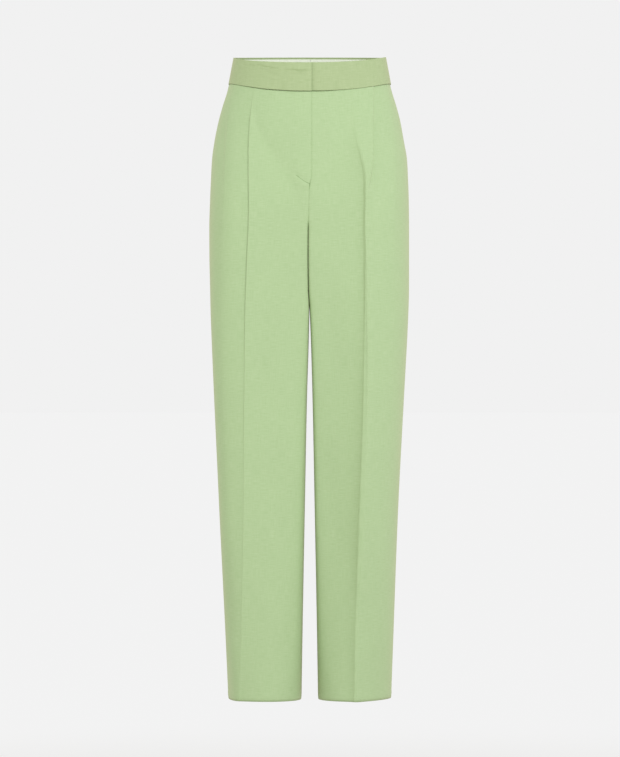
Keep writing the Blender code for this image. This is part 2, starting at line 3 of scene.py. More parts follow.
import bpy
import numpy as np
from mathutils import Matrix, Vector


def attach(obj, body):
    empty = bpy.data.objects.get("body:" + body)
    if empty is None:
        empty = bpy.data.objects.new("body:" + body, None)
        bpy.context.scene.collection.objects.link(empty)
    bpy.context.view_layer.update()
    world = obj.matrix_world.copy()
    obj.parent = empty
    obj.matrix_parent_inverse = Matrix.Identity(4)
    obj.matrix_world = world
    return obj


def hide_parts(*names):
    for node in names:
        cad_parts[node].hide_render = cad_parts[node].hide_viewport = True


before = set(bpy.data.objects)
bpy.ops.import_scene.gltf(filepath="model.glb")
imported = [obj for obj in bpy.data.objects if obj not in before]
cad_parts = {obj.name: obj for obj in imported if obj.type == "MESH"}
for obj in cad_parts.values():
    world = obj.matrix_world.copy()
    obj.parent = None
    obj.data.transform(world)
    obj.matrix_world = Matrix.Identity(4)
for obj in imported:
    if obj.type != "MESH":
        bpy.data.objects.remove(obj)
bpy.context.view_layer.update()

mm = 0.001
sideSign = {"right": -1.0, "left": 1.0}  # the wearer's right is at -X
faceSign = {"front": -1.0, "back": 1.0}

# sizes in millimetres; a drop is measured down from the middle of the waistband
cloth = {
    "wall": 1.1,
    "hemWall": 2.2,
    "hemTurn": 38.0,
    "seamRoll": 0.9,  # how far the cloth rolls in at a seam
    "seamRollWidth": 1.5,
    "hipStep": 2.2,  # between rows of the mesh above the crotch, and below it
    "rowStep": 4.4,
    "hem": 1064.0,
    "hemSlant": 0.06,
    "hemRoll": 0.35,  # the pressed edge of the hem rolls in, below a faint ridge
    "underBand": 4.0,  # the panels run on under the waistband, and stand this far behind it
    "seamDitch": {  # at the sides and at the lap, and where it fades between them
        "depth": (2.0, 3.4),
        "width": (0.9, 1.9),
        "fade": {"right": (70.0, 115.0), "left": (12.0, 60.0)},
    },
    "allowance": (1.2, 3.0, 6.0),  # columns of the seam allowance, by depth below the surface
}
waistband = {
    "top": -23.5,
    "bottom": 22.2,
    "halfWidth": (129.6, 138.1),
    "halfDepth": (93.0, 96.9),
    "wall": 2.0,
    "lap": 3.0,
    "underLap": 28.0,
    "lapStep": 1.25,
    "lapFade": {"right": (30.0, 52.0), "left": (4.0, 14.0)},  # the lap's step runs out between these
    "hidden": 1.6,  # the end under the lap stays this far below the edge that covers it
    "dip": 20.5,
    "rise": 12.8,
    "depth": 94.0,
    # how the top edge falls and rises with the depth, where 2 is the curve of the waist seam
    "topPower": {"right": 1.15, "left": 1.55, "back": 1.05},
    "tiltEnd": 200.0,
    "round": 2.35,
}
facing = {"wall": 0.9, "edge": 3.2, "gap": 0.3, "end": {"right": -54.0, "left": 26.0}}
seat = {
    "crotch": 300.0,
    "crotchDepth": 8.0,
    "riseStart": {"front": 250.0, "back": 190.0},
    "risePower": 2.6,
    "blend": (30.0, 275.0),
    "backRound": 5.0,
    "dart": {"end": (95.0, 135.0), "depth": 1.1, "width": 1.7},  # one in each back, above the back crease
}
fly = {
    "top": 23.3,
    "end": 202.0,
    "lap": 2.8,
    "underLap": 4.2,
    "step": 0.95,
    "shieldLeft": 9.0,
    "shieldRight": 29.0,
    "shieldCurve": 160.0,
    "shieldEnd": 197.0,
    "shieldInset": 2.85,
    "shieldWall": 1.2,
    "zip": (15.0, 5.2),
    "zipInset": 0.95,
    "zipWall": 1.2,
    "zipEnd": 188.0,
    "sink": 4.4,  # under the band they lie deeper, as the panels do
    "sinkEnd": (25.0, 38.0),
}

# Each leg at some drops, in millimetres: half width at the side seam, where the front crease and the back
# crease lie, the inner leg, how far back the side seam lies, the depths of front and back, roundness of the
# outer and inner quarters, how far the front crease stands out from the flat of the outer and the inner half,
# how far the inner flat swells, and how far the back crease stands out.
sectionNames = (
    "drop side crease seat inner seam front back outerRound innerRound tiltOuter tiltInner bulge tiltBack"
).split()
sections = {
    "right": [
        (22.2, 137.0, 93.5, 80, 0.0, 0, 95.5, 96.5, 2.4, 40, 0, 0, 0, 0),
        (36, 140.3, 94.5, 80, 0.0, 1, 99, 101, 2.4, 40, 0, 0, 0, 0),
        (58, 147.3, 97.0, 81, 0.0, 2, 104, 108, 2.4, 40, 0, 0, 0, 0),
        (83, 154.3, 99.4, 82, 0.0, 3, 109, 115, 2.4, 40, 0, 0, 0, 0),
        (117, 161.4, 100.4, 83, 0.0, 4, 114, 124, 2.4, 40, 0, 0, 0, 0),
        (151, 166.0, 100.6, 84, 0.0, 4, 117, 131, 2.5, 40, 0, 0, 0, 0),
        (190, 167.9, 100.2, 84, 0.3, 5, 119.5, 136, 2.6, 40, 0, 0, 0, 0),
        (219, 169.0, 99.9, 84, 1.4, 6, 120, 137, 2.8, 40, 3, 0, 0, 0),
        (268, 170.1, 100.6, 83, 2.6, 6, 118, 134, 3.0, 40, 4, 1, 0, 0),
        (321, 169.7, 102.8, 81, 2.8, 6, 115, 128, 3.2, 36, 5, 3, 0, 3),
        (372, 168.4, 105.0, 78, 2.4, 5, 112, 122, 3.5, 30, 6, 4, 0, 6),
        (406, 167.6, 106.2, 76, 0.8, 5, 109, 119, 3.7, 24, 7, 5, 1, 8),
        (440, 166.3, 107.2, 73, 1.3, 4, 106, 116, 3.9, 18, 8, 6, 1, 9),
        (560, 161.2, 108.7, 64, 4.8, 3, 99, 108, 4.2, 14, 12, 8, 2, 12),
        (746, 152.6, 110.0, 50, 8.4, 2, 93, 101, 4.2, 10, 14, 8, 3, 14),
        (950, 143.0, 114.2, 38, 12.2, 1, 89, 96, 3.0, 7, 14, 4, 8, 14),
        (1064, 138.3, 118.0, 33, 14.0, 0, 88, 94, 2.0, 4.5, 14, 0, 14, 12),
    ],
    "left": [
        (22.2, 136.0, 68.0, 80, 0.0, 0, 95.5, 96.5, 2.4, 40, 0, 0, 0, 0),
        (36, 139.7, 70.0, 80, 0.0, 1, 99, 101, 2.4, 40, 0, 0, 0, 0),
        (58, 146.5, 72.5, 81, 0.0, 2, 104, 108, 2.4, 40, 0, 0, 0, 0),
        (83, 153.3, 74.8, 82, 0.0, 3, 109, 115, 2.4, 40, 0, 0, 0, 0),
        (117, 159.5, 78.2, 83, 0.0, 4, 114, 124, 2.4, 40, 0, 0, 0, 0),
        (151, 165.2, 84.2, 84, 0.0, 4, 117, 131, 2.4, 40, 0, 0, 0, 0),
        (190, 167.2, 89.8, 84, -0.3, 5, 119.5, 136, 2.4, 40, 0, 0, 0, 0),
        (219, 168.2, 90.2, 84, -1.4, 6, 120, 137, 2.4, 40, 2, 1, 0, 0),
        (268, 168.7, 89.4, 83, -2.6, 6, 118, 134, 2.4, 40, 4, 3, 0, 0),
        (321, 168.7, 90.8, 82, -2.8, 6, 115, 128, 2.4, 40, 6, 5, 0, 3),
        (372, 168.6, 92.1, 81, -2.4, 5, 109, 122, 2.4, 36, 10, 11, 0, 6),
        (406, 167.7, 91.9, 80, -0.4, 5, 104, 119, 2.4, 32, 12, 14, 0, 8),
        (440, 166.2, 91.7, 80, 1.3, 4, 100, 116, 2.4, 28, 14, 17, 0, 9),
        (560, 159.7, 90.5, 79, 4.8, 3, 90, 108, 2.4, 24, 20, 24, 0, 12),
        (746, 150.0, 84.7, 77, 8.4, 2, 80, 101, 2.4, 18, 25, 29, 0, 14),
        (950, 142.4, 76.6, 76, 12.2, 1, 73, 96, 2.4, 10, 30, 32, 2, 14),
        (1064, 138.4, 74.4, 76, 14.0, 0, 68, 94, 2.1, 5, 36, 32, 7, 12),
    ],
}
sectionTables = {leg: np.array(rows, float) for leg, rows in sections.items()}

# pleat lines: drop, place across the panel, how far the cloth stands out on the inner side of the line, or
# on its outer side if negative, width of the step, and how far the upper layer laps over the lower one
pleats = {
    ("right", "main"): [
        (22, 93.5, 0.4, 2.0, 0.0), (52, 96.8, 0.8, 1.6, 0.2), (84, 99.4, 1.7, 1.1, 1.0), (144, 100.6, 2.0, 1.0, 1.4),
        (240, 99.8, 2.0, 1.0, 1.2), (330, 103.4, 1.9, 0.9, 0.9), (430, 107.0, 1.5, 0.9, 0.6),
        (560, 108.7, 1.1, 0.9, 0.3), (746, 110.0, 0.9, 0.9, 0.1), (950, 114.2, 0.7, 1.1, 0.0),
        (1064, 118.0, 0.3, 1.5, 0.0),
    ],
    ("left", "main"): [
        (22, 106.5, 1.7, 1.4, 0.0), (60, 104.8, 2.5, 1.3, 0.2), (110, 103.2, 2.8, 1.3, 0.3),
        (165, 102.4, 2.6, 1.5, 0.3), (210, 96.4, 1.3, 2.0, 0.0), (250, 94.0, 0.0, 2.4, 0.0),
    ],
    ("right", "second"): [
        (22, 128.0, 0.9, 2.0, 0.0), (53, 135.5, 1.6, 2.2, 0.0), (110, 139.6, 1.8, 2.6, 0.0),
        (164, 142.2, 1.5, 3.0, 0.0), (257, 145.5, 0.6, 4.0, 0.0), (320, 147.0, 0.0, 5.0, 0.0),
    ],
    ("left", "second"): [
        (22, 131.0, 0.5, 3.0, 0.0), (70, 140.0, 1.1, 3.0, 0.0), (164, 144.5, 1.3, 3.5, 0.0),
        (257, 143.0, 0.8, 4.0, 0.0), (380, 139.0, 0.0, 5.0, 0.0),
    ],
    ("left", "open"): [
        (90, 74.8, 0.0, 5.0, 0.0), (117, 78.2, -1.4, 3.2, 0.0), (151, 84.2, -2.8, 2.8, 0.0),
        (190, 89.8, -3.8, 2.2, 0.0), (219, 90.2, -3.7, 1.7, 0.0), (268, 89.4, -3.5, 1.4, 0.0),
        (321, 90.8, -3.3, 1.4, 0.0), (440, 91.7, -2.8, 1.5, 0.0), (560, 90.5, -2.3, 1.6, 0.0),
        (746, 84.7, -2.0, 1.6, 0.0), (870, 79.5, -1.5, 1.5, 0.0), (920, 77.5, -0.3, 1.5, 0.0),
        (980, 75.9, -0.6, 1.4, 0.0), (1064, 74.4, -1.1, 1.3, 0.0),
    ],
}
pleatReach = {"main": 62.0, "second": 30.0, "open": 24.0}

# pressed creases: drop, height of the ridge, and its spread on the outer and the inner side
creases = {
    ("right", "front"): [(150, 0, 12, 30), (240, 1.0, 12, 30), (400, 1.5, 10, 30), (760, 1.5, 10, 30),
                         (1064, 0.6, 10, 30)],
    ("left", "front"): [(88, 0, 60, 10), (117, 2.8, 60, 10), (151, 5.2, 60, 12), (190, 5.6, 60, 13),
                        (235, 4.4, 60, 10), (320, 5.0, 60, 9), (370, 5.0, 60, 12), (430, 7.5, 60, 15),
                        (560, 9.5, 60, 17), (740, 9.5, 60, 15), (840, 7.0, 60, 12), (900, 4.5, 60, 12),
                        (1064, 5.5, 60, 10)],
    ("right", "back"): [(150, 0, 20, 20), (300, 1.0, 20, 20), (420, 2.5, 16, 16), (760, 3.0, 14, 14),
                        (1064, 3.0, 14, 14)],
    ("left", "back"): [(150, 0, 20, 20), (300, 1.0, 20, 20), (420, 2.5, 16, 16), (760, 3.0, 14, 14),
                       (1064, 3.0, 14, 14)],
}

# soft folds: panel, where one starts and ends as drop and distance across, its width and its height
folds = [
    ("front_left", 26, 106.3, 112, 103.4, 1.2, 0.9),
    ("front_left", 96, 103.5, 172, 101.9, 1.2, 1.1),
    ("front_left", 156, 102.5, 206, 97.0, 1.3, 1.4),
    ("front_left", 186, 91.8, 300, 91.8, 1.3, 1.0),
    ("front_left", 282, 91.6, 380, 94.0, 1.3, 0.9),
    ("front_left", 350, 93.8, 575, 92.4, 1.3, 0.8),
    ("front_left", 360, 30, 500, 34, 16, -1.2),
    ("front_right", 330, 44, 440, 30, 16, -1.2),
    ("front_right", 700, 22, 800, 30, 14, -1.8),
    ("front_right", 860, 24, 1000, 34, 15, -1.6),
    ("front_right", 800, 142, 950, 126, 10, -1.2),
    ("front_right", 26, 15, 47, 11, 2.6, -1.3),
    ("front_right", 27, 68, 35, 58, 3.5, 0.9),
    ("front_right", 183, 25, 200, 2, 2.6, -1.1),
    ("front_right", 190, 26, 206, 4, 3.4, 0.4),
    ("front_left", 640, 26, 800, 42, 16, -1.2),
    ("back_left", 300, 60, 380, 130, 16, -3.0),
    ("back_right", 292, 52, 370, 128, 16, -3.4),
    ("back_left", 350, 40, 440, 100, 14, -2.2),
    ("back_right", 356, 36, 430, 92, 14, -2.0),
    ("back_left", 640, 40, 820, 60, 16, -2.0),
    ("back_right", 700, 34, 860, 40, 16, -2.2),
]
bandCreases = [  # side, then as above but across the band: the hook's mark and the pull around it
    ("right", -10.5, 42, -9.5, -2, 1.3, -1.7),
    ("right", -8.0, 44, -7.0, 2, 1.6, 0.8),
    ("right", -16.0, 88, -11.5, 54, 1.4, -1.5),
    ("right", -13.5, 86, -9.0, 56, 1.8, 0.9),
    ("right", -13.5, 112, -15.0, 88, 1.8, -0.9),
    ("right", -5.0, 72, 1.0, 50, 2.6, -0.8),
    ("right", 4.0, 88, 9.0, 58, 5.0, -0.6),
    ("left", -12.0, 16, -6.0, 42, 4.5, -0.5),
    ("left", 3.0, 60, 7.0, 92, 5.0, -0.4),
]
edgeMargin = 4.0
quarter = np.linspace(0.0, math.pi / 2, 121)


def through(xs, ys, x):  # smooth curve through points that never overshoots them
    xs, ys = np.asarray(xs, float), np.asarray(ys, float)
    steps = np.diff(xs)
    rates = np.diff(ys) / steps
    slopes = np.empty_like(ys)
    slopes[0], slopes[-1] = rates[0], rates[-1]
    before, after = rates[:-1], rates[1:]
    total = np.where(before + after == 0, 1.0, before + after)
    slopes[1:-1] = np.where(before * after > 0, 2 * before * after / total, 0.0)
    x = np.clip(x, xs[0], xs[-1])
    i = np.clip(np.searchsorted(xs, x) - 1, 0, len(xs) - 2)
    t = (x - xs[i]) / steps[i]
    fromStart = (1 + 2 * t) * (1 - t) ** 2 * ys[i] + t * (1 - t) ** 2 * steps[i] * slopes[i]
    fromEnd = t**2 * (3 - 2 * t) * ys[i + 1] + t**2 * (t - 1) * steps[i] * slopes[i + 1]
    return fromStart + fromEnd


def fade(x, start, end):
    t = np.clip((x - start) / (end - start), 0.0, 1.0)
    return t * t * (3 - 2 * t)


def level(leg, drop):
    table = sectionTables[leg]
    return {name: through(table[:, 0], table[:, k], drop) for k, name in enumerate(sectionNames)}


def pleatAt(leg, line, drop):  # place, step, width and overlap
    rows = np.array(pleats.get((leg, line), [(0, 0, 0, 1, 0), (1, 0, 0, 1, 0)]), float)
    return [through(rows[:, 0], rows[:, k], drop) for k in (1, 2, 3, 4)]


def bow(angle, power):
    return np.cos(angle) ** (2 / power)


def creaseOf(v, face):
    return v["crease" if face == "front" else "seat"]


def torsoSection(v, face):
    side, crease, power = v["side"], creaseOf(v, face), waistband["round"]
    turn = np.arccos((crease / side) ** (power / 2))
    share = quarter / quarter[-1]
    angles = np.concatenate([share * turn, (turn + share * (quarter[-1] - turn))[1:]])
    sign = faceSign[face]
    across = side * bow(angles, power)
    along = v["seam"] + sign * (v[face] - sign * v["seam"]) * bow(quarter[-1] - angles, power)
    return np.column_stack([across, along])


def legSection(v, face, drop):
    sign, side, crease = faceSign[face], v["side"], creaseOf(v, face)
    tilts = (v["tiltOuter"], v["tiltInner"]) if face == "front" else (v["tiltBack"], v["tiltBack"])
    power, tilt = v["outerRound"], tilts[0]
    reach = side - crease
    across = crease + reach * bow(quarter, power)
    flat = v[face] + tilts[1] - tilt - sign * v["seam"]
    along = v["seam"] + sign * (flat * bow(quarter[-1] - quarter, power) + tilt * (side - across) / reach)
    outer = np.column_stack([across, along])

    power, tilt = v["innerRound"] if face == "front" else seat["backRound"], tilts[1]
    backOf = seat["crotchDepth"] * (1 - fade(drop, seat["crotch"], cloth["hem"]))
    share = 0.0
    if drop < seat["crotch"]:
        start = seat["riseStart"][face]
        sunk = np.clip((drop - start) / (seat["crotch"] - start), 0.0, 1.0)
        share = min((1 - sunk ** seat["risePower"]) ** (1 / seat["risePower"]), 0.995)
    last = np.arccos(share ** (power / 2))
    span = crease - v["inner"]
    reach = span / np.sin(last) ** (2 / power)
    angles = quarter * last / quarter[-1]
    across = crease - reach * bow(quarter[-1] - angles, power)
    inwards = (crease - across) / span
    bulge = v["bulge"] * np.sin(math.pi * inwards) if face == "front" else 0.0
    depth = (v[face] - sign * backOf) * bow(angles, power) + tilt * (1 - inwards) + bulge
    return np.vstack([outer, np.column_stack([across, backOf + sign * depth])[1:]])


def section(leg, face, drop):
    v = level(leg, drop)
    share = fade(drop, *seat["blend"])
    return (1 - share) * torsoSection(v, face) + share * legSection(v, face, drop)


def lapPast(leg, drop):
    length = fly["lap"] if leg == "right" else fly["underLap"]
    return length * (1 - fade(drop, fly["end"] - 12, fly["end"] - 2))


def panelDrops():  # rows crowd together where the crotch curves under
    waist = waistband["bottom"] + np.array([-cloth["underBand"], 0.0, 0.4, 0.8, 1.2, 1.6, 2.0, 2.5, 3.2, 4.4])
    start = seat["riseStart"]["front"]
    hips = np.linspace(waist[-1], start, int((start - waist[-1]) / cloth["hipStep"]))[1:]
    turns = np.sin(np.radians(np.linspace(0, 90, 26)[1:])) ** (2 / seat["risePower"])
    crotch = start + (seat["crotch"] - start) * turns
    rows = int((cloth["hem"] - seat["crotch"]) / cloth["rowStep"])
    legs = np.linspace(seat["crotch"], cloth["hem"], rows)[1:]
    return np.concatenate([waist, hips, crotch, legs])


def guidesAt(leg, face, drop):  # lines that the columns of a panel crowd around, from the side inwards
    v = level(leg, drop)
    crease = creaseOf(v, face)
    if face == "back":
        return [crease]
    second = min(pleatAt(leg, "second", drop)[0], crease + 0.62 * (v["side"] - crease))
    if leg == "right":
        return [second, crease]
    main = max(pleatAt(leg, "main", drop)[0], crease + 5.0)
    return [max(second, main + 8.0), main, crease]


nearStops = np.array([0.35, 0.7, 1.1, 1.6, 2.3, 3.2, 4.5])  # columns beside a guide line or a seam
columnCounts = {("right", "front"): (12, 12, 30, 12), ("left", "front"): (12, 8, 8, 26, 12),
                ("right", "back"): (22, 26, 12), ("left", "back"): (22, 26, 12)}
cornerRoom = 8.0  # least length of cloth past the corner of the inner leg


def cornerAt(curve, length, crease):  # how far along a section the cloth turns in between the legs
    inside = curve[:, 0] <= crease
    across, depth = curve[inside, 0], np.abs(curve[inside, 1])
    turn = np.argmax(depth / depth.max() - across / crease)
    return min(length[inside][turn], length[-1] - cornerRoom)


def panelGrid(leg, face):
    drops = panelDrops()
    rows, arcs = [], []
    for drop in drops:
        curve = section(leg, face, drop)
        past = lapPast(leg, drop) if face == "front" else 0.0
        if past > 0.01:
            curve = np.vstack([curve, curve[-1] - np.array([past, 0.0])])
        length = np.concatenate([[0.0], np.cumsum(np.linalg.norm(np.diff(curve, axis=0), axis=1))])
        guides = guidesAt(leg, face, drop)
        marks = [0.0] + [float(np.interp(-g, -curve[:, 0], length)) for g in guides]
        marks.extend([cornerAt(curve, length, guides[-1]), length[-1]])
        stops = []
        for k, count in enumerate(columnCounts[leg, face]):
            room = marks[k + 1] - marks[k]
            near = nearStops * min(1.0, 0.4 * room / nearStops[-1])
            stops.extend([[marks[k]], marks[k] + near])
            stops.append(np.linspace(marks[k] + near[-1], marks[k + 1] - near[-1], count)[1:-1])
            stops.append(marks[k + 1] - near[::-1])
        stops.append([marks[-1]])
        stops = np.concatenate(stops)
        across = np.interp(stops, length, curve[:, 0])
        along = np.interp(stops, length, curve[:, 1])
        rows.append(np.column_stack([across, along, np.full(len(stops), -drop)]))
        arcs.append(stops - marks[-3])  # from the crease, so the grain runs along it
    return np.array(rows), np.array(arcs), drops


def stepUp(distance, width):
    return 0.5 * (1 + np.tanh(distance / (0.5 * width)))


def foldHeight(across, drop, drop0, across0, drop1, across1, width, size):  # a soft trough or ridge along a line
    start = np.array([across0, drop0], float)
    line = np.array([across1, drop1], float) - start
    spot = np.stack([across, drop], axis=-1) - start
    t = np.clip(spot @ line / (line @ line), 0.0, 1.0)
    away = np.linalg.norm(spot - t[..., None] * line, axis=-1)
    return size * np.exp(-((away / width) ** 2)) * np.sin(math.pi * (0.15 + 0.7 * t))


def relief(leg, face, across, drop, arc):
    # height over the plain form, and a shift across towards the side, for one row
    v = level(leg, drop)
    height, shift = np.zeros_like(across), np.zeros_like(across)
    if face == "front":
        for line, reach in pleatReach.items():
            place, size, width, overlap = pleatAt(leg, line, drop)
            inwards = place - across
            raised = inwards if size > 0 else -inwards
            height += abs(size) * stepUp(raised, width) * (1 - fade(raised, 0.1 * reach, reach))
            above = np.exp(-np.maximum(inwards, 0) / 10) * (inwards > 0)
            below = -0.8 * np.exp(-np.maximum(-inwards - 0.5, 0) / 5) * (inwards <= 0)
            shift += overlap * (above + below)
        past = 1 - fade(drop, fly["end"] - 2, fly["end"] + 10)
        flap = past * (1 - fade(across, 16, 34))
        height += (fly["step"] if leg == "right" else -fly["step"]) * flap
    rows = np.array(creases[leg, face], float)
    crease = creaseOf(v, face)
    if face == "back":
        dart = seat["dart"]
        height -= dart["depth"] * np.exp(-(((across - crease) / dart["width"]) ** 2)) * (1 - fade(drop, *dart["end"]))
    ridge, outerSpread, innerSpread = [through(rows[:, 0], rows[:, k], drop) for k in (1, 2, 3)]
    outside = across > crease
    span = np.where(outside, v["side"] - crease, crease - v["inner"])
    spread = np.where(outside, outerSpread, innerSpread)
    lowest = np.exp(-span / spread)
    height += ridge * np.maximum(np.exp(-np.abs(across - crease) / spread) - lowest, 0.0) / (1 - lowest)
    inside = fade(v["side"] - across, 0, edgeMargin) * fade(across - v["inner"], 0, edgeMargin)
    for panel, *fold in folds:
        if panel == face + "_" + leg:
            height += foldHeight(across, np.full_like(across, drop), *fold) * inside
    toEdge = cloth["hem"] - drop
    height += cloth["hemRoll"] * (np.exp(-(((toEdge - 8.0) / 3.5) ** 2)) - np.exp(-toEdge / 1.5))
    fromEdge = np.minimum(arc - arc[0], arc[-1] - arc)
    height -= cloth["seamRoll"] * np.exp(-fromEdge / cloth["seamRollWidth"])
    return height, shift


def outwardNormals(points):
    down = np.gradient(points, axis=0)
    over = np.gradient(points, axis=1)
    normal = np.cross(over, down)
    return normal / np.maximum(np.linalg.norm(normal, axis=2), 1e-9)[:, :, None]


def waistTilt(along, drop):
    lift = np.where(along < 0, -waistband["dip"], waistband["rise"]) * (along / waistband["depth"]) ** 2
    return lift * (1 - fade(drop, waistband["bottom"], waistband["tiltEnd"]))


def seamDitch(leg, face, across, drop):  # the panels sink under the band, deepest near the lap
    ditch = cloth["seamDitch"]
    middle = 1 - fade(across, *ditch["fade"][leg]) if face == "front" else 0.0
    depth = ditch["depth"][0] + (ditch["depth"][1] - ditch["depth"][0]) * middle
    end = waistband["bottom"] + ditch["width"][0] + (ditch["width"][1] - ditch["width"][0]) * middle
    return depth * (1 - fade(drop, end - 0.6, end + 0.7))


def panelSurface(leg, face):
    points, arcs, drops = panelGrid(leg, face)
    outward = outwardNormals(points) * (1.0 if face == "front" else -1.0)
    sideways = -np.gradient(points, axis=1)
    sideways /= np.maximum(np.linalg.norm(sideways, axis=2), 1e-9)[:, :, None]
    for i, drop in enumerate(drops):
        height, shift = relief(leg, face, points[i, :, 0], drop, arcs[i])
        height = height - seamDitch(leg, face, points[i, :, 0], drop)
        points[i] += outward[i] * height[:, None] + sideways[i] * shift[:, None]
        edge = level(leg, drop)["inner"] - (lapPast(leg, drop) if face == "front" else 0.0)
        points[i, :, 0] = np.maximum(points[i, :, 0], edge)
        if drop < seat["crotch"]:  # the halves meet in the middle, and their allowances turn straight back
            points[i, -1, 0] = edge
            outward[i, -1] *= (0.0, 1.0, 1.0)
            outward[i, -1] /= np.linalg.norm(outward[i, -1])
        points[i, :, 2] += waistTilt(points[i, :, 1], drop)
        nearHem = fade(drop, cloth["hem"] - 3 * cloth["hemTurn"], cloth["hem"])
        points[i, :, 2] -= cloth["hemSlant"] * points[i, :, 1] * nearHem
    ends = []  # the seam allowances, turned inwards at both sides
    for column, side in ((0, 1.0), (-1, -1.0)):
        turned = np.stack([points[:, column] - outward[:, column] * deep for deep in cloth["allowance"]], axis=1)
        if side > 0:
            turned = turned[:, ::-1]
        ends.append(turned)
    points = np.concatenate([ends[0], points, ends[1]], axis=1)
    deep = np.array(cloth["allowance"])
    arcs = np.concatenate([arcs[:, :1] - deep[::-1], arcs, arcs[:, -1:] + deep], axis=1)
    points[:, :, 0] *= sideSign[leg]
    return points, arcs, drops


def gridMesh(name, points, arcs, drops, finish):  # a sheet with its UV map in metres along the cloth
    rows, columns = points.shape[:2]
    index = np.arange(rows * columns).reshape(rows, columns)
    quads = np.stack([index[:-1, :-1], index[:-1, 1:], index[1:, 1:], index[1:, :-1]], axis=-1).reshape(-1, 4)
    flat = points.reshape(-1, 3) * mm
    corners = flat[quads]
    normals = np.cross(corners[:, 1] - corners[:, 0], corners[:, 3] - corners[:, 0])
    centres = corners.mean(axis=1)
    if (normals[:, :2] * centres[:, :2]).sum() < 0:
        quads = quads[:, ::-1]
    data = bpy.data.meshes.new(name)
    data.from_pydata(flat.tolist(), [], quads.tolist())
    uv = np.stack([arcs * mm, -np.repeat(np.asarray(drops)[:, None], columns, axis=1) * mm], axis=-1).reshape(-1, 2)
    layer = data.uv_layers.new(name="cloth")
    layer.data.foreach_set("uv", uv[quads.ravel()].ravel())
    data.materials.append(finish)
    data.shade_smooth()
    piece = bpy.data.objects.new(name, data)
    bpy.context.scene.collection.objects.link(piece)
    return piece


def giveWall(piece, thickness, hemRows=None, thin=1.0):
    modifier = piece.modifiers.new("wall", "SOLIDIFY")
    modifier.thickness = thickness * mm
    modifier.offset = -1.0
    if hemRows is not None:
        group = piece.vertex_groups.new(name="hem")
        group.add(hemRows, 1.0, "REPLACE")
        modifier.vertex_group = group.name
        modifier.thickness_vertex_group = thin
    return modifier


def bake(piece):  # the evaluated mesh, with no modifier left on it
    view = bpy.context.evaluated_depsgraph_get()
    data = bpy.data.meshes.new_from_object(piece.evaluated_get(view))
    piece.modifiers.clear()
    old = piece.data
    piece.data = data
    bpy.data.meshes.remove(old)
    data.name = piece.name
    return piece


def hexColour(text):  # sRGB hex to linear
    parts = [int(text[k : k + 2], 16) / 255 for k in (1, 3, 5)]
    return tuple(c / 12.92 if c <= 0.04045 else ((c + 0.055) / 1.055) ** 2.4 for c in parts) + (1.0,)


def addNode(tree, kind, inputs=None, **settings):  # inputs: name or index to a value or a socket to link
    node = tree.nodes.new(kind)
    for key, value in settings.items():
        setattr(node, key, value)
    for key, value in (inputs or {}).items():
        socket = node.inputs[key]
        if isinstance(value, bpy.types.NodeSocket):
            tree.links.new(value, socket)
        else:
            socket.default_value = value
    return node


def newMaterial(name):
    made = bpy.data.materials.new(name)
    made.use_nodes = True
    made.node_tree.nodes.clear()
    return made, made.node_tree


woolLook = {
    "legs": ("#a5bd8c", "#abc292", "#b1c698"),  # dark, mid and light
    # the waistband's tones, darker than the legs': painted shade
    "band": ("#a1b383", "#a7b889", "#adbd8f"),
    "roughness": 0.8,
    "sheen": 0.3,
    "nap": "#ffdccb",  # the nap's tint, seen where the cloth turns away
    "weft": (0.014, 0.0011),  # metres: length and width of a thicker stretch of yarn
    "warp": (0.022, 0.0010),
    "warpShare": 0.4,
    "threadBump": 0.00008,
}


